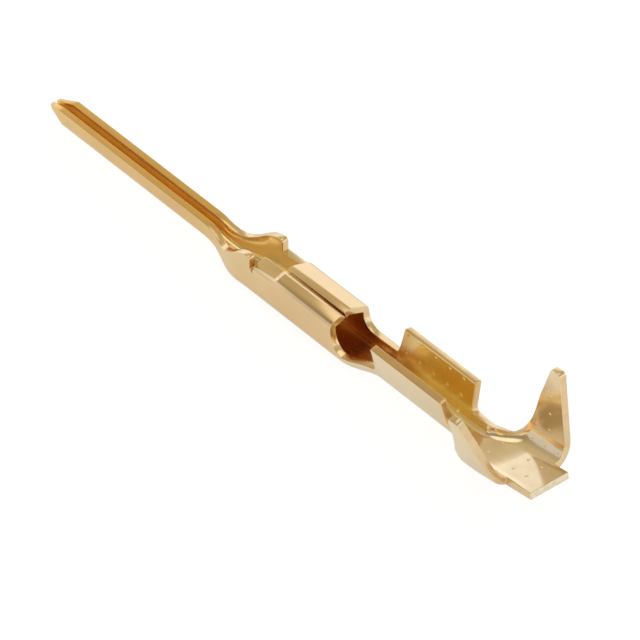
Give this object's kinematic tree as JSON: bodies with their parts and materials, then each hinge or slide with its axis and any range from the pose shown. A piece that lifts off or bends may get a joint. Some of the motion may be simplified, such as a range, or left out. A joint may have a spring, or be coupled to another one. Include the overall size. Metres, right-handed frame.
{
  "type": "crimp pin contact",
  "caption": "Gold-plated crimp pin contact folded from one sheet: slotted square pin, shoulder ears, closed box, open conductor barrel and tall insulation wings.",
  "frame": {"origin": "centre of the pin's tip, on the pin's axis", "axes": "+X along the pin from its tip to the carrier stub, +Z towards the open side of the barrels, near side at -Y"},
  "size_m": [0.0195, 0.003, 0.003],
  "materials": {
    "gold_plating": "polished pale gold plating"
  },
  "bodies": {
    "root": {"contact": "gold_plating"}
  },
  "joints": []
}
